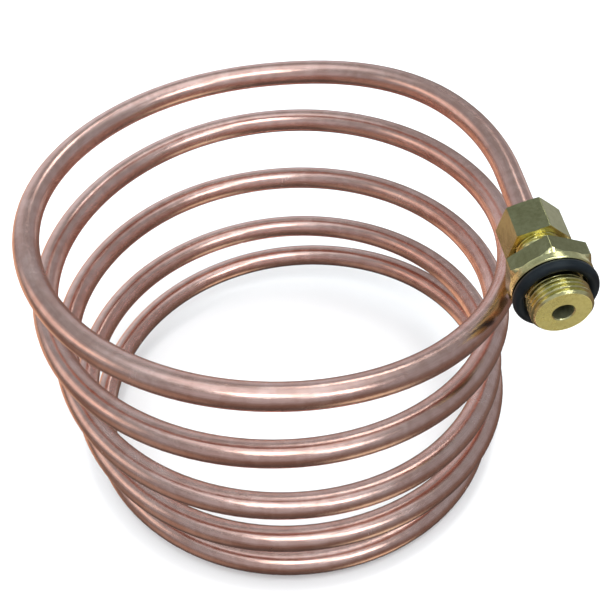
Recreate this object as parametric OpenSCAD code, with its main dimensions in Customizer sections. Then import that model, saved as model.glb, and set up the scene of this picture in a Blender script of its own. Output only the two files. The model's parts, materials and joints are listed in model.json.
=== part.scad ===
// Immersion wort chiller: a hand-wound copper coil with a compression fitting on its upper end.
// Millimetres, +Z up. The coil stands on Z = 0, with the origin under the middle of the whole object.

/* [Coil] */
// Outside diameter of the copper tube
tube_d = 9.525; // [9.4:0.025:9.6]
// Wall thickness of the tube
tube_wall = 0.8; // [0.6:0.1:1]
// Size of the winding, 1 being the coil as wound
winding_scale = 1; // [0.98:0.01:1.1]
// Straight tube between the coil and the compression nut
lead_length = 24; // [20:1:30]
// Straight tube at the lower end, for a push-on hose
tail_length = 22; // [15:1:25]
// Steps that one turn is drawn with
steps_per_turn = 36; // [24:2:38]
// Sides of the tube where it is bent
tube_sides = 12; // [8:2:14]

/* [Compression nut] */
// Size of the nut across its flats
nut_flats = 20; // [19.5:0.5:21]
// Length of the nut
nut_length = 14; // [13:0.5:15]
// Angle that the nut stands at
nut_angle = 48; // [0:1:59]
// Diameter of the compression thread
compression_d = 16; // [15.8:0.1:16.2]

/* [Stud body] */
// Size of the body's hexagon across its flats
body_flats = 27; // [26:0.5:28]
// Angle that the body's hexagon stands at
body_angle = 7.5; // [0:0.5:59]
// Length of the hexagon
body_hex_length = 6.5; // [6:0.5:8]
// Neck between the nut and the hexagon
neck_length = 7.5; // [6:0.5:8]
// Diameter of the round collar
collar_d = 28.4; // [28:0.2:29]
// Thickness of the round collar
collar_length = 2.8; // [2:0.1:3]
// Diameter of the pipe thread over its crests
thread_d = 20.955; // [20.955]
// Pitch of the pipe thread, 14 ridges to the inch
thread_pitch = 1.814; // [1.814]
// Length from the collar to the end of the pipe thread
thread_length = 11.4; // [11:0.1:14]
// Diameter of the water way
bore_d = 7.2; // [6:0.1:8]

/* [O-ring] */
// Thickness of the ring
ring_section = 4; // [3:0.1:4.2]
// Lean of the loose ring, away from the collar at its lower side
ring_lean = 4; // [0:0.5:5]

/* [Hidden] */

// Gauged places along the winding: turns from its upper end, its radius, height of the tube's middle
stations = [
    [0, 85, 122.5],
    [0.1, 82.5, 127],
    [0.25, 79, 124.5],
    [0.5, 91, 118],
    [0.75, 85, 109.5],
    [1, 85.5, 99],
    [1.25, 88.5, 95],
    [1.5, 91, 87],
    [1.75, 86.5, 83],
    [2, 82.5, 73],
    [2.5, 88, 60],
    [3, 82.5, 44],
    [3.5, 84.5, 34],
    [4, 85, 27],
    [4.5, 81, 12.5],
    [5, 81, 4.6],
];
last = len(stations) - 1;
first_turn = 0.008;
last_turn = 4.94;
// Middle of the coil from the middle of the whole object
coil_x = -4.3;
coil_y = -1.4;

tube_r = tube_d / 2;
tube_inside_r = tube_r - tube_wall;
// A bent tube's polygon has the same area as the round tube
polygon_gain = sqrt(PI / (tube_sides / 2 * sin(360 / tube_sides)));

joint_overlap = 0.4;
end_ring_r = (tube_r - 0.06) / polygon_gain;

// Radial clearance of a part that turns or slides on another
running = 0.09;
thread_running = 0.05;
// Gap that keeps the cones of the joint apart
cone_gap = 0.25;
hex_chamfer_angle = 30;
// Chamfers of the hexagons, across the corners: broken edges, and a full chamfer towards the collar
slight_chamfer = 0.35;
full_chamfer = 2.3;

// Places along the fitting, from the nut's rear face
ferrule_rear = 4.6;
ferrule_r = 6.2;
ferrule_edge_r = 5;
ferrule_middle = 6;
ferrule_front = 7.2;
ferrule_length = 5.6;
ferrule_end = ferrule_rear + ferrule_length;
rear_wall = 4;
nut_thread_start = 6.8;
stud_start = 8;
neck_start = nut_length + 1.5;
hex_start = nut_length + neck_length;
collar_start = hex_start + body_hex_length;
collar_end = collar_start + collar_length;
stud_end = collar_end + thread_length;
tube_stop = hex_start + 2.5;
tube_end = tube_stop - 0.2;
front_slope = (ferrule_r - ferrule_edge_r) / (ferrule_end - ferrule_front);
rear_slope = (ferrule_r - ferrule_edge_r) / (ferrule_middle - ferrule_rear);

// Pipe thread, by the proportions of the 55 degree form
thread_depth = 0.6403 * thread_pitch;
thread_root_r = thread_d / 2 - thread_depth;
flank = thread_depth * tan(27.5);
crest = (thread_pitch - 2 * flank) / 2;
undercut_length = ring_section + 0.3;
end_chamfer = 1.3;
ridges = floor((thread_length - undercut_length - end_chamfer / 2) / thread_pitch);
ring_r = (thread_d / 2 + 0.04 + ring_section / 2) / cos(ring_lean);

// Smooth curve through the stations, by cubic pieces with three-point slopes
function gap(i) = stations[i + 1][0] - stations[i][0];
function chord(i, c) = (stations[i + 1][c] - stations[i][c]) / gap(i);
function slope(i, c) =
    i == 0 ? 1.5 * chord(0, c) - 0.5 * slope(1, c)
    : i == last ? 1.5 * chord(last - 1, c) - 0.5 * slope(last - 1, c)
    : (chord(i - 1, c) * gap(i) + chord(i, c) * gap(i - 1)) / (gap(i) + gap(i - 1));
function piece(t) = max([for (i = [0 : last - 1]) if (i == 0 || stations[i][0] <= t) i]);
function along_piece(i, c, u) =
    stations[i][c] * (1 + 2 * u) * (1 - u) * (1 - u)
    + slope(i, c) * gap(i) * u * (1 - u) * (1 - u)
    + stations[i + 1][c] * u * u * (3 - 2 * u)
    + slope(i + 1, c) * gap(i) * u * u * (u - 1);
function wound(t, c) =
    let (i = piece(t))
    along_piece(i, c, (t - stations[i][0]) / gap(i));
function unit(v) = v / norm(v);

// Middle line of the tube, t turns down from its upper end
function middle(t) =
    let (r = winding_scale * wound(t, 1))
    [coil_x + r * cos(360 * t), coil_y + r * sin(360 * t), wound(t, 2)];
// Way that the tube runs at t, downwards
function heading(t) = unit(middle(t + 0.001) - middle(t - 0.001));

// One ring of points round the tube
function ring(place, way, r) =
    let (side = unit(cross(way, [0, 0, 1])), top = cross(side, way))
    [for (k = [0 : tube_sides - 1])
        let (a = 360 * (k + 0.5) / tube_sides)
        place + r * polygon_gain * (cos(a) * side + sin(a) * top)];

// Turns +Z to the given way and moves to the given place
module facing(place, way) {
    translate(place)
        rotate([0, acos(way[2]), atan2(way[1], way[0])])
            children();
}

// The fitting's own frame: its origin is the nut's rear face, and +Z runs to the pipe thread
module at_fitting() {
    way = -heading(first_turn);
    facing(middle(first_turn) + lead_length * way, way)
        children();
}

// Straight round tube, begun a little inside the bent tube that it carries on from
module straight_tube(length) {
    translate([0, 0, -joint_overlap])
        difference() {
            cylinder(r = tube_r, h = length + joint_overlap, $fn = 64);
            translate([0, 0, -1])
                cylinder(r = tube_inside_r, h = length + joint_overlap + 2, $fn = 64);
        }
}

module wound_tube() {
    steps = round((last_turn - first_turn) * steps_per_turn);
    turns_at = [for (i = [0 : steps]) first_turn + (last_turn - first_turn) * i / steps];
    n = tube_sides;
    // The end rings lie within the straight tubes that carry on from them
    outside = [
        for (i = [0 : steps])
            let (t = turns_at[i], inset = i == 0 || i == steps)
            each ring(middle(t), heading(t), inset ? end_ring_r : tube_r)
    ];
    inside = [for (t = turns_at) each ring(middle(t), heading(t), tube_inside_r)];
    bore = len(outside);
    end = steps * n;
    walls = [
        for (i = [0 : steps - 1], k = [0 : n - 1])
            let (a = i * n + k, b = i * n + (k + 1) % n)
            each [
                [a, b, b + n],
                [a, b + n, a + n],
                [bore + b, bore + a, bore + b + n],
                [bore + a, bore + a + n, bore + b + n],
            ]
    ];
    rims = [
        for (k = [0 : n - 1])
            let (m = (k + 1) % n)
            each [
                [k, bore + k, m],
                [m, bore + k, bore + m],
                [end + k, end + m, bore + end + k],
                [end + m, bore + end + m, bore + end + k],
            ]
    ];
    polyhedron(points = concat(outside, inside), faces = concat(walls, rims));
}

// Hexagon bar with its corners chamfered at both ends
module hex_bar(flats, length, near, far) {
    corner = flats / sqrt(3) + 0.1;
    near_rise = near * tan(hex_chamfer_angle);
    far_rise = far * tan(hex_chamfer_angle);
    intersection() {
        cylinder(d = 2 * flats / sqrt(3), h = length, $fn = 6);
        rotate_extrude($fn = 96)
            polygon([
                [0, 0],
                [corner - near, 0],
                [corner, near_rise],
                [corner, length - far_rise],
                [corner - far, length],
                [0, length],
            ]);
    }
}

// Ridges of a pipe thread as rings, with a run-out groove at the foot and a chamfer at the tip
module pipe_thread() {
    tip = thread_length;
    first_ridge = tip - ridges * thread_pitch;
    rings = [
        for (i = [0 : ridges - 1])
            let (z = first_ridge + i * thread_pitch)
            each [
                [thread_root_r, z],
                [thread_d / 2, z + flank],
                [thread_d / 2, z + flank + crest],
                [thread_root_r, z + 2 * flank + crest],
            ]
    ];
    intersection() {
        rotate_extrude($fn = 96)
            polygon(concat([[0, 0], [thread_root_r, 0]], rings, [[thread_root_r, tip], [0, tip]]));
        rotate_extrude($fn = 96)
            polygon([
                [0, -1],
                [thread_d / 2 + 1, -1],
                [thread_d / 2 + 1, tip - end_chamfer - 1],
                [thread_d / 2 - end_chamfer, tip],
                [0, tip],
            ]);
    }
}

module coil_tube() {
    color("peru")
        union() {
            wound_tube();
            facing(middle(first_turn), -heading(first_turn))
                straight_tube(lead_length + tube_end);
            facing(middle(last_turn), heading(last_turn))
                straight_tube(tail_length);
        }
}

module ferrule() {
    color("goldenrod")
        at_fitting()
            rotate_extrude($fn = 96)
                polygon([
                    [tube_r, ferrule_rear],
                    [ferrule_edge_r, ferrule_rear],
                    [ferrule_r, ferrule_middle],
                    [ferrule_r, ferrule_front],
                    [ferrule_edge_r, ferrule_end],
                    [tube_r, ferrule_end],
                ]);
}

module compression_nut() {
    hole = tube_r + running;
    seat = ferrule_r + cone_gap + 0.1;
    color("darkkhaki")
        at_fitting()
            difference() {
                rotate([0, 0, nut_angle])
                    hex_bar(nut_flats, nut_length, slight_chamfer, slight_chamfer);
                rotate_extrude($fn = 96)
                    polygon([
                        [0, -1],
                        [hole, -1],
                        [hole, rear_wall],
                        [seat, rear_wall + (seat - hole) / rear_slope],
                        [seat, nut_thread_start],
                        [compression_d / 2, nut_thread_start],
                        [compression_d / 2, nut_length + 1],
                        [0, nut_length + 1],
                    ]);
            }
}

module stud_body() {
    hole = tube_r + running;
    mouth = ferrule_r + cone_gap - front_slope * (stud_start - ferrule_front);
    spigot = compression_d / 2 - thread_running;
    color("darkkhaki")
        at_fitting()
            difference() {
                union() {
                    rotate_extrude($fn = 96)
                        polygon([
                            [0, stud_start],
                            [spigot, stud_start],
                            [spigot, neck_start],
                            [spigot - 0.8, neck_start + 0.8],
                            [spigot - 0.8, hex_start + 1],
                            [0, hex_start + 1],
                        ]);
                    translate([0, 0, hex_start])
                        rotate([0, 0, body_angle])
                            hex_bar(body_flats, body_hex_length + 0.6, slight_chamfer, full_chamfer);
                    translate([0, 0, collar_start])
                        cylinder(d = collar_d, h = collar_length, $fn = 96);
                    translate([0, 0, collar_end])
                        pipe_thread();
                }
                rotate_extrude($fn = 96)
                    polygon([
                        [0, stud_start - 1],
                        [mouth + front_slope, stud_start - 1],
                        [hole, stud_start + (mouth - hole) / front_slope],
                        [hole, tube_stop],
                        [bore_d / 2, tube_stop],
                        [bore_d / 2, stud_end + 1],
                        [0, stud_end + 1],
                    ]);
            }
}

module o_ring() {
    color("dimgray")
        at_fitting()
            translate([0, 0, collar_end + 0.02 + ring_section / 2 + ring_r * sin(ring_lean)])
                rotate([0, -ring_lean, 0])
                    rotate_extrude($fn = 96)
                        translate([ring_r, 0])
                            circle(d = ring_section, $fn = 48);
}

coil_tube();
ferrule();
compression_nut();
stud_body();
o_ring();
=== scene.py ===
"""Immersion wort chiller: a hand-wound copper coil with a brass compression fitting."""

import json
import math

import bpy
from mathutils import Matrix, Vector, noise


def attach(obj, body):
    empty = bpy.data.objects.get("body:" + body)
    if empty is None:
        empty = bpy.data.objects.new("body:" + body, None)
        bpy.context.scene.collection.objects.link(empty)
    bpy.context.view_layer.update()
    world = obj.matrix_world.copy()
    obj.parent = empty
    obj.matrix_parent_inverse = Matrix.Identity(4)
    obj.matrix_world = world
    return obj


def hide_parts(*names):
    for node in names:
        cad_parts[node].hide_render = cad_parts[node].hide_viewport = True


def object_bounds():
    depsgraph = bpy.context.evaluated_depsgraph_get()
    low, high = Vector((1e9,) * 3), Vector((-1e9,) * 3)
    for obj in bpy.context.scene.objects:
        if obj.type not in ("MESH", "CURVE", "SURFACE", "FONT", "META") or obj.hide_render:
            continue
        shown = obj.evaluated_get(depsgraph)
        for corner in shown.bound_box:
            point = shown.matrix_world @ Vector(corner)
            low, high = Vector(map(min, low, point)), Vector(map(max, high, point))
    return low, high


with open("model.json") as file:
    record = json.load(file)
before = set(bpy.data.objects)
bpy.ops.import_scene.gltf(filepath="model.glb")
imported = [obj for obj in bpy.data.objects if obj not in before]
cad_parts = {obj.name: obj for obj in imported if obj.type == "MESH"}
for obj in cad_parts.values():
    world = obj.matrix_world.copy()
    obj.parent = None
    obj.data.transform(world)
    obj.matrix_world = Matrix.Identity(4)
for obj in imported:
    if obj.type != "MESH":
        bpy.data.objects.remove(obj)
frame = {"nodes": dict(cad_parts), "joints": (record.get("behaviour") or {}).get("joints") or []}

cad_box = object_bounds()

# ---------------------------------------------------------------------------
# Sizes, in millimetres, as the CAD model has them
# ---------------------------------------------------------------------------

MM = 0.001

TUBE_R = 9.525 / 2
TUBE_INSIDE_R = TUBE_R - 0.8
LEAD = 24.0
TAIL = 22.0
TUBE_END = 23.8
FIRST_TURN = 0.008
LAST_TURN = 4.94
COIL_MIDDLE = (-4.3, -1.4)

# Turns from the upper end, winding radius, height of the tube's middle
STATIONS = [
    (0, 85, 122.5),
    (0.1, 82.5, 127),
    (0.25, 79, 124.5),
    (0.5, 91, 118),
    (0.75, 85, 109.5),
    (1, 85.5, 99),
    (1.25, 88.5, 95),
    (1.5, 91, 87),
    (1.75, 86.5, 83),
    (2, 82.5, 73),
    (2.5, 88, 60),
    (3, 82.5, 44),
    (3.5, 84.5, 34),
    (4, 85, 27),
    (4.5, 81, 12.5),
    (5, 81, 4.6),
]

NUT_FLATS = 20.0
NUT_LENGTH = 14.0
NUT_ANGLE = 48.0
NUT_HOLE_R = TUBE_R + 0.09
NUT_SEAT_R = 6.55
NUT_THREAD_START = 6.8
COMPRESSION_R = 8.0
COMPRESSION_PITCH = 1.5
COMPRESSION_DEPTH = 0.92
THREAD_RUNNING = 0.05
REAR_WALL = 4.0

BODY_FLATS = 27.0
BODY_ANGLE = 7.5
STUD_START = 8.0
MOUTH_R = 6.13
NECK_START = 15.5
NECK_R = 7.15
HEX_START = 21.5
COLLAR_START = 28.0
COLLAR_END = 30.8
COLLAR_R = 14.2
STUD_END = 42.2
TUBE_STOP = 24.0
BORE_R = 3.6
BORE_EDGE = 0.35
CONE_END = 11.2

THREAD_R = 20.955 / 2
THREAD_PITCH = 1.814
THREAD_DEPTH = 0.6403 * THREAD_PITCH
UNDERCUT = 4.3
END_CHAMFER = 1.3
RING_SECTION = 4.0
RING_LEAN = math.radians(4)
RING_R = (THREAD_R + 0.04 + RING_SECTION / 2) / math.cos(RING_LEAN)


# ---------------------------------------------------------------------------
# The tube's middle line, by the same rule as the CAD model
# ---------------------------------------------------------------------------

LAST = len(STATIONS) - 1


def gap(i):
    return STATIONS[i + 1][0] - STATIONS[i][0]


def chord(i, c):
    return (STATIONS[i + 1][c] - STATIONS[i][c]) / gap(i)


def slope(i, c):
    if i == 0:
        return 1.5 * chord(0, c) - 0.5 * slope(1, c)
    if i == LAST:
        return 1.5 * chord(LAST - 1, c) - 0.5 * slope(LAST - 1, c)
    return (chord(i - 1, c) * gap(i) + chord(i, c) * gap(i - 1)) / (gap(i) + gap(i - 1))


def wound(t, c):
    i = max(k for k in range(LAST) if k == 0 or STATIONS[k][0] <= t)
    u = (t - STATIONS[i][0]) / gap(i)
    return (
        STATIONS[i][c] * (1 + 2 * u) * (1 - u) ** 2
        + slope(i, c) * gap(i) * u * (1 - u) ** 2
        + STATIONS[i + 1][c] * u * u * (3 - 2 * u)
        + slope(i + 1, c) * gap(i) * u * u * (u - 1)
    )


def middle(t):
    r, a = wound(t, 1), 2 * math.pi * t
    return Vector((COIL_MIDDLE[0] + r * math.cos(a), COIL_MIDDLE[1] + r * math.sin(a), wound(t, 2)))


def heading(t):
    return (middle(t + 0.001) - middle(t - 0.001)).normalized()


# ---------------------------------------------------------------------------
# Mesh helpers. Rows of points become a skin of quads with a UV map in millimetres.
# ---------------------------------------------------------------------------


def skin(name, rows, materials, band_of_row=None):
    """rows: lists of equal length, each closed on itself.

    band_of_row picks the material of the band after each row.
    """
    n = len(rows[0])
    verts = [MM * p for row in rows for p in row]
    faces, slots, uvs = [], [], []
    along = [0.0]
    for a, b in zip(rows, rows[1:]):
        along.append(along[-1] + sum((p - q).length for p, q in zip(a, b)) / n)
    around = []
    for row in rows:
        steps = [0.0]
        for k in range(n):
            steps.append(steps[-1] + (row[(k + 1) % n] - row[k]).length)
        around.append(steps)
    widest = max(around, key=lambda s: s[-1])
    for i in range(len(rows) - 1):
        for k in range(n):
            m = (k + 1) % n
            faces.append((i * n + k, i * n + m, (i + 1) * n + m, (i + 1) * n + k))
            slots.append(band_of_row[i] if band_of_row else 0)
            u0, u1 = widest[k], widest[k + 1]
            uvs += [(u0, along[i]), (u1, along[i]), (u1, along[i + 1]), (u0, along[i + 1])]
    mesh = bpy.data.meshes.new(name)
    mesh.from_pydata(verts, [], faces)
    layer = mesh.uv_layers.new(name="UVMap")
    for loop, uv in enumerate(uvs):
        layer.data[loop].uv = uv
    for poly, s in zip(mesh.polygons, slots):
        poly.material_index = s
        poly.use_smooth = True
    for m in materials:
        mesh.materials.append(m)
    mesh.validate()
    mesh.update()
    obj = bpy.data.objects.new(name, mesh)
    bpy.context.scene.collection.objects.link(obj)
    return obj


def join_seams(obj):
    """Joins the first and last rows where they meet."""
    weld = obj.modifiers.new("weld", "WELD")
    weld.merge_threshold = 1e-6


def crisp(obj, width, angle=24.0, segments=2):
    """Rounds the sharp edges a little and keeps the flats flat."""
    bevel = obj.modifiers.new("edges", "BEVEL")
    bevel.width = width * MM
    bevel.segments = segments
    bevel.limit_method = "ANGLE"
    bevel.angle_limit = math.radians(angle)
    bevel.use_clamp_overlap = True
    bevel.harden_normals = False
    weighted = obj.modifiers.new("normals", "WEIGHTED_NORMAL")
    weighted.keep_sharp = True
    weighted.weight = 80


# ---------------------------------------------------------------------------
# The fitting's own frame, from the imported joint: +Z runs to the pipe thread
# ---------------------------------------------------------------------------

nut_joint = next(j for j in frame["joints"] if j["name"] == "nut_turn")
fitting_way = -Vector(nut_joint["axis"]).normalized()
fitting_place = Vector(nut_joint["pos_m"]) / MM - fitting_way * (NUT_LENGTH / 2)
tilt = math.acos(fitting_way.z)
swing = math.atan2(fitting_way.y, fitting_way.x)
to_world = (
    Matrix.Translation(fitting_place)
    @ Matrix.Rotation(swing, 4, "Z")
    @ Matrix.Rotation(tilt, 4, "Y")
)


def turned_row(radius, place, count, radius_fn=None, place_fn=None, turn=None):
    row = []
    frame_of_row = to_world @ turn if turn else to_world
    for k in range(count):
        a = 2 * math.pi * k / count
        r = radius_fn(a) if radius_fn else radius
        z = place_fn(a) if place_fn else place
        row.append(frame_of_row @ Vector((r * math.cos(a), r * math.sin(a), z)))
    return row


def hex_radius(flats, turned_deg, corner_round):
    """Radius of a hexagon with rounded corners, at angle a."""
    apothem = flats / 2
    top = apothem / math.cos(math.pi / 6)
    limit = top - corner_round * (1 / math.cos(math.pi / 6) - 1)

    def radius(a):
        local = (a - math.radians(turned_deg)) % (math.pi / 3) - math.pi / 6
        r = apothem / math.cos(local)
        return r if r < limit else limit - (r - limit) * 0.15

    return radius


# ---------------------------------------------------------------------------
# Materials
# ---------------------------------------------------------------------------


class Nodes:
    """Short names for making a node material."""

    def __init__(self, name):
        self.material = bpy.data.materials.new(name)
        self.material.use_nodes = True
        self.tree = self.material.node_tree
        self.shader = self.tree.nodes["Principled BSDF"]

    def add(self, kind, **inputs):
        node = self.tree.nodes.new(kind)
        for key, value in inputs.items():
            if hasattr(node, key):
                setattr(node, key, value)
            else:
                node.inputs[key.replace("_", " ")].default_value = value
        return node

    def link(self, a, b):
        self.tree.links.new(a, b)

    def coords(self, scale, which="UV"):
        source = self.add("ShaderNodeTexCoord")
        mapping = self.add("ShaderNodeMapping")
        mapping.inputs["Scale"].default_value = scale
        self.link(source.outputs[which], mapping.inputs["Vector"])
        return mapping.outputs["Vector"]

    def noise(self, vector, scale, detail=4.0, roughness=0.55, distortion=0.0):
        node = self.add("ShaderNodeTexNoise")
        node.inputs["Scale"].default_value = scale
        node.inputs["Detail"].default_value = detail
        node.inputs["Roughness"].default_value = roughness
        node.inputs["Distortion"].default_value = distortion
        self.link(vector, node.inputs["Vector"])
        return node.outputs["Fac"]

    def ramp(self, fac, stops, interpolation="EASE"):
        node = self.add("ShaderNodeValToRGB")
        ramp = node.color_ramp
        ramp.interpolation = interpolation
        while len(ramp.elements) < len(stops):
            ramp.elements.new(0.5)
        for element, (place, value) in zip(ramp.elements, stops):
            element.position = place
            element.color = (*value, 1) if isinstance(value, tuple) else (value, value, value, 1)
        self.link(fac, node.inputs["Fac"])
        return node.outputs["Color"]

    def mix(self, fac, a, b, blend="MIX"):
        node = self.add("ShaderNodeMix")
        node.data_type = "RGBA"
        node.blend_type = blend
        for socket, value in ((node.inputs[0], fac), (node.inputs[6], a), (node.inputs[7], b)):
            if hasattr(value, "is_linked"):
                self.link(value, socket)
            elif isinstance(value, tuple):
                socket.default_value = (*value, 1)
            else:
                socket.default_value = value
        return node.outputs[2]

    def math(self, operation, a, b):
        node = self.add("ShaderNodeMath")
        node.operation = operation
        for socket, value in zip(node.inputs, (a, b)):
            if hasattr(value, "is_linked"):
                self.link(value, socket)
            else:
                socket.default_value = value
        return node.outputs[0]

    def bump(self, height, distance, strength, under=None):
        node = self.add("ShaderNodeBump")
        node.inputs["Distance"].default_value = distance
        node.inputs["Strength"].default_value = strength
        self.link(height, node.inputs["Height"])
        if under:
            self.link(under, node.inputs["Normal"])
        return node.outputs["Normal"]


def copper(name, dark=1.0):
    m = Nodes(name)
    world = m.coords((1, 1, 1), "Object")
    drawn = m.coords((1.6, 0.05, 1))
    speckle = m.coords((1, 1, 1))
    # broad patches of tarnish, finer mottling, and lines along the drawn tube
    patches = m.noise(world, 26, 4, 0.55, 0.6)
    mottle = m.noise(world, 190, 5, 0.62)
    lines = m.noise(drawn, 2.2, 3, 0.6)
    warm = m.ramp(patches, [(0.36, (0.90 * dark, 0.580 * dark, 0.500 * dark)),
                            (0.64, (0.95 * dark, 0.655 * dark, 0.580 * dark))])
    brown = m.ramp(mottle, [(0.38, (0.92, 0.88, 0.86)), (0.62, (1.0, 1.0, 1.0))])
    base = m.mix(1.0, warm, brown, "MULTIPLY")
    streak = m.ramp(lines, [(0.35, (0.93, 0.90, 0.88)), (0.6, (1.0, 1.0, 1.0))])
    base = m.mix(0.8, base, streak, "MULTIPLY")
    # small dull brown spots
    cells = m.add("ShaderNodeTexVoronoi")
    cells.inputs["Scale"].default_value = 0.085
    m.link(speckle, cells.inputs["Vector"])
    spot = m.ramp(cells.outputs["Distance"], [(0.0, 1.0), (0.055, 0.0)])
    keep = m.ramp(m.noise(speckle, 0.031, 2), [(0.52, 0.0), (0.6, 1.0)])
    spots = m.math("MULTIPLY", spot, keep)
    base = m.mix(spots, base, (0.20, 0.10, 0.065))
    m.link(base, m.shader.inputs["Base Color"])
    m.shader.inputs["Metallic"].default_value = 1.0
    rough = m.ramp(patches, [(0.3, 0.18), (0.7, 0.24)])
    rough = m.math("ADD", rough, m.math("MULTIPLY", mottle, 0.06))
    m.link(m.math("ADD", rough, m.math("MULTIPLY", spots, 0.3)), m.shader.inputs["Roughness"])
    # handling dents, fine grain and drawing lines
    dents = m.bump(m.noise(world, 55, 2, 0.5), 0.0010, 0.12)
    grain = m.bump(m.noise(world, 900, 3, 0.6), 0.00012, 0.16, dents)
    m.link(m.bump(lines, 0.00012, 0.25, grain), m.shader.inputs["Normal"])
    return m.material


def brass(name, lines_along, tint=(1.0, 1.0, 1.0), dullness=0.07, metallic=1.0):
    """lines_along: scale of the tool marks over the surface's UV map. tint multiplies the base
    colour; far from 1 it is painted light or painted shade.
    """
    m = Nodes(name)
    world = m.coords((1, 1, 1), "Object")
    marks_uv = m.coords(lines_along)
    patches = m.noise(world, 120, 4, 0.6, 0.4)
    fine = m.noise(world, 700, 4, 0.65)
    marks = m.noise(marks_uv, 1.0, 2, 0.5)
    # base colour times tint: a plain colour cast, or painted light and painted shade on the lit and
    # shaded copies of the brass
    base = m.ramp(patches, [(0.35, (0.66 * tint[0], 0.60 * tint[1], 0.30 * tint[2])),
                            (0.65, (0.76 * tint[0], 0.70 * tint[1], 0.38 * tint[2]))])
    dull = m.ramp(fine, [(0.36, (0.86, 0.85, 0.80)), (0.6, (1.0, 1.0, 1.0))])
    m.link(m.mix(0.8, base, dull, "MULTIPLY"), m.shader.inputs["Base Color"])
    m.shader.inputs["Metallic"].default_value = metallic
    rough = m.ramp(patches, [(0.3, 0.07), (0.7, 0.13)])
    rough = m.math("ADD", rough, m.math("MULTIPLY", fine, 0.06))
    m.link(m.math("ADD", rough, dullness), m.shader.inputs["Roughness"])
    pits = m.bump(fine, 0.0001, 0.12)
    m.link(m.bump(marks, 0.00008, 0.35, pits), m.shader.inputs["Normal"])
    return m.material


def rubber(name):
    m = Nodes(name)
    world = m.coords((1, 1, 1), "Object")
    cloud = m.noise(world, 140, 4, 0.6)
    dust = m.noise(world, 1400, 3, 0.7)
    base = m.ramp(cloud, [(0.35, (0.006, 0.0085, 0.011)), (0.65, (0.010, 0.014, 0.017))])
    specks = m.ramp(dust, [(0.66, 0.0), (0.74, 1.0)])
    base = m.mix(m.math("MULTIPLY", specks, 0.3), base, (0.06, 0.06, 0.06))
    m.link(base, m.shader.inputs["Base Color"])
    m.link(m.ramp(cloud, [(0.3, 0.34), (0.7, 0.48)]), m.shader.inputs["Roughness"])
    m.shader.inputs["Specular IOR Level"].default_value = 0.20
    m.link(m.bump(dust, 0.00008, 0.25), m.shader.inputs["Normal"])
    return m.material


copper_outside = copper("copper_drawn")
copper_inside = copper("copper_bore", 0.8)
# turned brass: base colour raised above the other copies, painted light that brightens its
# highlights
brass_turned_painted_light = brass("brass_turned_painted_light", (0.05, 9.0, 1), (1.22, 1.24, 1.22), 0.0)
# milled hexagon flats: base colour lowered and cooled, painted shade with a cool painted reflection
brass_milled_painted_shade = brass("brass_milled_painted_shade", (2.4, 0.12, 1), (0.60, 0.625, 0.62))
brass_faced = brass("brass_faced", (0.05, 9.0, 1), (0.98, 1.0, 0.86), 0.16)
# drilled bore: base colour much lowered and bluish, painted shade in the bore
brass_drilled_painted_shade = brass("brass_drilled_painted_shade", (0.05, 9.0, 1), (0.42, 0.46, 0.52), 0.3, 0.75)
rubber_black = rubber("rubber_black")

# ---------------------------------------------------------------------------
# Coil tube: swept along its middle line, hollow, with small winding flaws
# ---------------------------------------------------------------------------

STEPS_PER_TURN = 120
SIDES = 40


def flaw(t, seed):
    """A slow sideways wander of a hand-bent tube, nothing near its ends."""
    fade = min(1, max(0, (t - 0.12) / 0.15)) * min(1, max(0, (LAST_TURN - 0.05 - t) / 0.15))
    return 0.22 * fade * noise.noise(Vector((t * 9.0, seed, 0.0)))


def tube_row(place, way, radius, t=None):
    side = way.cross(Vector((0, 0, 1))).normalized()
    top = side.cross(way)
    if t is not None:
        place = place + side * flaw(t, 1.7) + top * flaw(t, 7.3)
    row = []
    for k in range(SIDES):
        a = 2 * math.pi * (k + 0.5) / SIDES
        # bending leaves the tube slightly flat towards the coil's axis
        out = 1.0 if t is None else 1.0 - 0.006 * math.cos(2 * a)
        row.append(place + radius * out * (math.cos(a) * side + math.sin(a) * top))
    return row


def tube_lines():
    """Place, way and turn of every row, from the end in the fitting to the hose end."""
    lines = []
    start, way = middle(FIRST_TURN), heading(FIRST_TURN)
    lead = LEAD + TUBE_END
    for s in (lead, lead - 0.25, lead - 12, LEAD + 1, LEAD - 4, LEAD - 12, 4):
        lines.append((start - way * s, way, None))
    steps = round((LAST_TURN - FIRST_TURN) * STEPS_PER_TURN)
    for i in range(steps + 1):
        t = FIRST_TURN + (LAST_TURN - FIRST_TURN) * i / steps
        lines.append((middle(t), heading(t), t))
    end, way = middle(LAST_TURN), heading(LAST_TURN)
    for s in (4, 12, TAIL - 0.25, TAIL):
        lines.append((end + way * s, way, None))
    return lines


def make_coil():
    lines = tube_lines()
    rows = [tube_row(p, w, TUBE_R, t) for p, w, t in lines]
    rows[0] = tube_row(lines[0][0], lines[0][1], TUBE_R - 0.25)
    rows[-1] = tube_row(lines[-1][0], lines[-1][1], TUBE_R - 0.25)
    bands = [0] * (len(rows) - 1)
    inside = [tube_row(p, w, TUBE_INSIDE_R, t) for p, w, t in reversed(lines)]
    bands += [0] + [1] * (len(inside) - 1) + [0]
    rows += inside + [rows[0]]
    obj = skin("copper_coil", rows, [copper_outside, copper_inside], bands)
    join_seams(obj)
    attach(obj, "coil")
    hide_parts("coil_tube")
    return obj


# ---------------------------------------------------------------------------
# Compression nut
# ---------------------------------------------------------------------------

ROUND = 240


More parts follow.
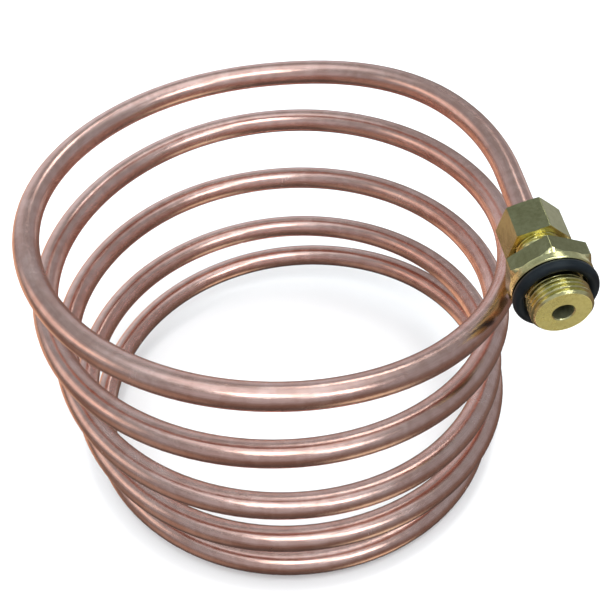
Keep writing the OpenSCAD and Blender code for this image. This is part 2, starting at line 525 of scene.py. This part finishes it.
def make_nut():
    radius = hex_radius(NUT_FLATS, NUT_ANGLE, 0.5)
    edge = NUT_FLATS / 2
    drop = 0.12

    def chamfer(a):
        return max(0.0, radius(a) - edge) * drop

    rows = [
        turned_row(NUT_HOLE_R, 0.5, ROUND),
        turned_row(NUT_HOLE_R + 0.5, 0, ROUND),
        turned_row(edge, 0, ROUND),
        turned_row(0, 0, ROUND, radius, chamfer),
        turned_row(0, 0, ROUND, radius, lambda a: NUT_LENGTH - chamfer(a)),
        turned_row(edge, NUT_LENGTH, ROUND),
        turned_row(COMPRESSION_R + 0.5, NUT_LENGTH, ROUND),
        turned_row(COMPRESSION_R, NUT_LENGTH - 0.5, ROUND),
        turned_row(COMPRESSION_R, NUT_THREAD_START, ROUND),
        turned_row(NUT_SEAT_R, NUT_THREAD_START, ROUND),
        turned_row(NUT_SEAT_R, REAR_WALL + 2, ROUND),
        turned_row(NUT_HOLE_R, REAR_WALL, ROUND),
        turned_row(NUT_HOLE_R, 0.5, ROUND),
    ]
    # band 1, the hexagon flats, takes the darkened brass: painted shade
    bands = [0, 0, 0, 1] + [0] * 8
    obj = skin("brass_nut", rows, [brass_turned_painted_light, brass_milled_painted_shade], bands)
    join_seams(obj)
    crisp(obj, 0.22)
    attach(obj, "nut")
    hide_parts("compression_nut")
    return obj


# ---------------------------------------------------------------------------
# Stud body: compression thread, neck, hexagon, collar and pipe thread
# ---------------------------------------------------------------------------


def ridge(phase, pitch, depth):
    """Height lost at this phase of one thread form: 0 on the crest, depth in the root."""
    flank = depth * math.tan(math.radians(27.5))
    half_crest = (pitch - 2 * flank) / 4
    d = abs((phase % 1.0) - 0.5) * pitch
    u = min(1.0, max(0.0, (d - half_crest) / flank))
    return depth * (0.6 * u + 0.4 * u * u * (3 - 2 * u))


def helix_row(place, crest_r, pitch, depth, count, cut):
    """One row of a right-handed thread. cut(place) is the radius that the chamfers leave."""

    def radius(a):
        lost = ridge(place / pitch - a / (2 * math.pi), pitch, depth)
        return min(crest_r - lost, cut(place))

    return turned_row(0, place, count, radius)


def make_stud():
    count = ROUND
    radius = hex_radius(BODY_FLATS, BODY_ANGLE, 0.9)
    edge = BODY_FLATS / 2
    drop = 0.1
    spigot = COMPRESSION_R - THREAD_RUNNING
    root = THREAD_R - THREAD_DEPTH

    def chamfer(a):
        return max(0.0, radius(a) - edge) * drop

    def foot(a):
        return max(0.0, radius(a) - BODY_FLATS / 2) * math.tan(math.radians(34))

    rows, bands = [], []

    def put(row, band=0):
        rows.append(row)
        bands.append(band)

    put(turned_row(MOUTH_R, STUD_START, count))
    put(turned_row(spigot - 0.95, STUD_START, count))
    # compression thread
    steps = 60
    for i in range(steps + 1):
        z = STUD_START + 0.02 + (NECK_START - STUD_START) * i / steps
        put(helix_row(z, spigot, COMPRESSION_PITCH, COMPRESSION_DEPTH, count,
                      lambda s: min(spigot, spigot - 0.95 + (s - STUD_START))))
    put(turned_row(NECK_R, NECK_START + 0.8, count))
    put(turned_row(NECK_R, HEX_START - 0.5, count))
    put(turned_row(NECK_R + 0.15, HEX_START - 0.15, count))
    put(turned_row(NECK_R + 0.5, HEX_START, count))
    # hexagon, chamfered at both ends, then the round collar
    put(turned_row(edge, HEX_START, count))
    # the flats take the darkened brass: painted shade
    put(turned_row(0, 0, count, radius, lambda a: HEX_START + chamfer(a)), 1)
    put(turned_row(0, 0, count, radius, lambda a: COLLAR_START + 0.2 - foot(a)))
    put(turned_row(COLLAR_R - 0.02, COLLAR_START + 0.25, count))
    put(turned_row(COLLAR_R, COLLAR_START + 0.6, count))
    put(turned_row(COLLAR_R, COLLAR_END - 0.45, count))
    put(turned_row(COLLAR_R - 0.45, COLLAR_END, count))
    put(turned_row(root + 0.4, COLLAR_END, count))
    put(turned_row(root, COLLAR_END + 0.3, count))
    # pipe thread, running out into the undercut
    thread_start = COLLAR_END + UNDERCUT - 0.9
    put(turned_row(root, thread_start - 0.3, count))

    def cut(s):
        lead_in = root + (s - thread_start) * 1.6
        lead_out = THREAD_R + 0.15 - END_CHAMFER + (STUD_END - s)
        return max(root - 0.02, min(THREAD_R, lead_in, lead_out))

    steps = 110
    for i in range(steps + 1):
        z = thread_start + (STUD_END - thread_start) * i / steps
        put(helix_row(z, THREAD_R, THREAD_PITCH, THREAD_DEPTH, count, cut))
    # end face, bore and tube socket
    put(turned_row(root - 0.1, STUD_END, count), 2)
    put(turned_row(BORE_R + BORE_EDGE, STUD_END, count))
    # the bore takes the darkened brass: painted shade
    put(turned_row(BORE_R, STUD_END - BORE_EDGE, count), 3)
    put(turned_row(BORE_R, TUBE_STOP, count), 3)
    put(turned_row(NUT_HOLE_R, TUBE_STOP, count))
    put(turned_row(NUT_HOLE_R, CONE_END, count))
    put(turned_row(MOUTH_R, STUD_START, count))
    materials = [brass_turned_painted_light, brass_milled_painted_shade, brass_faced, brass_drilled_painted_shade]
    obj = skin("brass_stud", rows, materials, bands[:-1])
    join_seams(obj)
    crisp(obj, 0.16, 26.0)
    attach(obj, "stud")
    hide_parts("stud_body")
    return obj


# ---------------------------------------------------------------------------
# O-ring
# ---------------------------------------------------------------------------


def make_ring():
    half = RING_SECTION / 2
    lean = (
        Matrix.Translation((0, 0, COLLAR_END + half + 0.02 + RING_R * math.sin(RING_LEAN)))
        @ Matrix.Rotation(-RING_LEAN, 4, "Y")
    )
    sections = 48
    rows = []
    for j in range(sections + 1):
        b = 2 * math.pi * j / sections
        # a trace of the mould's parting line stands on the outer edge
        seam = 0.035 * math.exp(-((math.sin(b / 2) / 0.05) ** 2))
        r = half - 0.03 + seam
        rows.append(turned_row(RING_R + r * math.cos(b), -r * math.sin(b), 200, turn=lean))
    obj = skin("rubber_ring", rows, [rubber_black])
    join_seams(obj)
    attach(obj, "stud")
    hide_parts("o_ring")
    return obj


make_coil()
make_nut()
make_stud()
make_ring()

ferrule = frame["nodes"]["ferrule"]
ferrule.data.materials.clear()
ferrule.data.materials.append(brass_turned_painted_light)

# ---------------------------------------------------------------------------
# Stage: pale floor, soft studio light
# ---------------------------------------------------------------------------


def make_floor():
    mesh = bpy.data.meshes.new("floor")
    half = 9.0
    corners = [(-half, -half, 0), (half, -half, 0), (half, half, 0), (-half, half, 0)]
    mesh.from_pydata(corners, [], [(0, 1, 2, 3)])
    floor = bpy.data.objects.new("floor", mesh)
    bpy.context.scene.collection.objects.link(floor)
    m = Nodes("pale_floor")
    m.shader.inputs["Base Color"].default_value = (0.93, 0.93, 0.93, 1)
    m.shader.inputs["Roughness"].default_value = 0.9
    m.shader.inputs["Specular IOR Level"].default_value = 0.0
    mesh.materials.append(m.material)
    # the metal mirrors the dim room below the bench, not the white paper
    floor.visible_glossy = False
    floor.location.z = cad_box[0][2] - 0.0002
    return floor


def direction(across, away, up):
    return Vector((across, away, up)).normalized()


# Bright parts of the room that the metal mirrors: way, full within, gone beyond (degrees), light
ROOM = [
    (direction(0.02, -0.12, 0.99), 16, 36, (0.60, 0.68, 0.74)),  # ceiling
    (direction(0.00, -0.60, 0.80), 4, 12, (4.6, 4.9, 5.0)),  # ceiling lamp towards the viewer
    (direction(0.41, -0.67, 0.61), 4, 11, (4.8, 5.1, 5.2)),  # its far end, to the right
    (direction(0.23, 0.50, 0.83), 2.5, 8, (3.8, 4.0, 4.0)),  # second lamp
    (direction(-0.10, -0.93, 0.30), 12, 42, (0.14, 0.14, 0.15)),  # wall behind the viewer
    (direction(-0.35, 0.91, 0.22), 12, 36, (0.38, 0.43, 0.47)),  # daylight from behind
    (direction(0.42, -0.42, -0.80), 6, 17, (0.80, 0.74, 0.54)),  # pale bench in front
    (direction(-0.70, -0.45, -0.55), 10, 30, (0.18, 0.14, 0.11)),  # bench to the left
    (direction(-0.93, 0.10, 0.33), 7, 22, (0.56, 0.45, 0.37)),  # warm wall to the left
    (direction(-0.86, -0.27, 0.43), 4, 15, (0.80, 0.66, 0.54)),  # lamp on it
    (direction(-0.60, 0.62, -0.50), 12, 32, (0.66, 0.44, 0.29)),  # warm bench behind
    (direction(0.68, 0.72, -0.14), 6, 18, (0.34, 0.38, 0.40)),  # pale edge of the bench
]
BACKDROP = (0.80, 0.82, 0.84)


def make_world():
    world = bpy.data.worlds.new("studio")
    bpy.context.scene.world = world
    world.use_nodes = True
    tree = world.node_tree
    background = tree.nodes["Background"]
    coords = tree.nodes.new("ShaderNodeTexCoord")
    split = tree.nodes.new("ShaderNodeSeparateXYZ")
    ramp = tree.nodes.new("ShaderNodeValToRGB")
    half = tree.nodes.new("ShaderNodeMath")
    half.operation = "MULTIPLY_ADD"
    half.inputs[1].default_value = 0.5
    half.inputs[2].default_value = 0.5
    stops = [
        (0.00, (0.10, 0.085, 0.080)),
        (0.10, (0.12, 0.10, 0.09)),
        (0.27, (0.20, 0.145, 0.12)),
        (0.45, (0.20, 0.18, 0.17)),
        (0.51, (0.28, 0.29, 0.31)),
        (0.65, (0.32, 0.35, 0.385)),
        (0.90, (0.28, 0.32, 0.345)),
        (1.00, (0.34, 0.365, 0.38)),
    ]
    while len(ramp.color_ramp.elements) < len(stops):
        ramp.color_ramp.elements.new(0.5)
    for element, (place, value) in zip(ramp.color_ramp.elements, stops):
        element.position = place
        element.color = (*value, 1)
    tree.links.new(coords.outputs["Generated"], split.inputs[0])
    tree.links.new(split.outputs["Z"], half.inputs[0])
    tree.links.new(half.outputs[0], ramp.inputs["Fac"])
    total = ramp.outputs["Color"]
    for way, full, gone, light in ROOM:
        dot = tree.nodes.new("ShaderNodeVectorMath")
        dot.operation = "DOT_PRODUCT"
        dot.inputs[1].default_value = way
        spread = tree.nodes.new("ShaderNodeMapRange")
        spread.interpolation_type = "SMOOTHSTEP"
        spread.inputs["From Min"].default_value = math.cos(math.radians(gone))
        spread.inputs["From Max"].default_value = math.cos(math.radians(full))
        tint = tree.nodes.new("ShaderNodeVectorMath")
        tint.operation = "SCALE"
        tint.inputs[0].default_value = light
        add = tree.nodes.new("ShaderNodeVectorMath")
        add.operation = "ADD"
        tree.links.new(coords.outputs["Generated"], dot.inputs[0])
        tree.links.new(dot.outputs["Value"], spread.inputs["Value"])
        tree.links.new(spread.outputs["Result"], tint.inputs["Scale"])
        tree.links.new(total, add.inputs[0])
        tree.links.new(tint.outputs["Vector"], add.inputs[1])
        total = add.outputs["Vector"]
    # the camera sees a plain pale backdrop behind the floor
    rays = tree.nodes.new("ShaderNodeLightPath")
    shown = tree.nodes.new("ShaderNodeMixRGB")
    shown.inputs["Color2"].default_value = (*BACKDROP, 1)
    tree.links.new(rays.outputs["Is Camera Ray"], shown.inputs["Fac"])
    tree.links.new(total, shown.inputs["Color1"])
    tree.links.new(shown.outputs["Color"], background.inputs["Color"])
    background.inputs["Strength"].default_value = 1.0


def softbox(name, place, aim, size, power):
    """Soft light for the floor and the rubber. The metal mirrors the room instead."""
    light = bpy.data.lights.new(name, "AREA")
    light.shape = "RECTANGLE"
    light.size, light.size_y = size
    light.energy = power
    obj = bpy.data.objects.new(name, light)
    bpy.context.scene.collection.objects.link(obj)
    obj.location = place
    obj.rotation_euler = (Vector(aim) - Vector(place)).to_track_quat("-Z", "Y").to_euler()
    obj.visible_glossy = False
    return obj


make_floor()
make_world()
softbox("overhead", (0.0, -0.1, 1.3), (0, 0, 0), (1.6, 1.6), 26.0)

# ---------------------------------------------------------------------------
# Camera, where the photographer stood
# ---------------------------------------------------------------------------

CAMERA_PLACE = Vector((0.0025, -0.2931, 0.3489))
CAMERA_DOWN = math.radians(43.8)
CAMERA_ROLL = math.radians(-3.1)
CAMERA_LENS = 60.6


def make_camera():
    right = Vector((1, 0, 0))
    forward = Vector((0, math.cos(CAMERA_DOWN), -math.sin(CAMERA_DOWN)))
    up = Vector((0, math.sin(CAMERA_DOWN), math.cos(CAMERA_DOWN)))
    x = math.cos(CAMERA_ROLL) * right + math.sin(CAMERA_ROLL) * up
    y = -math.sin(CAMERA_ROLL) * right + math.cos(CAMERA_ROLL) * up
    data = bpy.data.cameras.new("camera")
    data.sensor_width = 36
    data.sensor_fit = "HORIZONTAL"
    data.lens = CAMERA_LENS
    data.clip_start = 0.01
    camera = bpy.data.objects.new("camera", data)
    bpy.context.scene.collection.objects.link(camera)
    matrix = Matrix((x, y, -forward)).transposed().to_4x4()
    matrix.translation = CAMERA_PLACE
    camera.matrix_world = matrix
    bpy.context.scene.camera = camera


make_camera()
bpy.context.scene.view_settings.view_transform = "Standard"
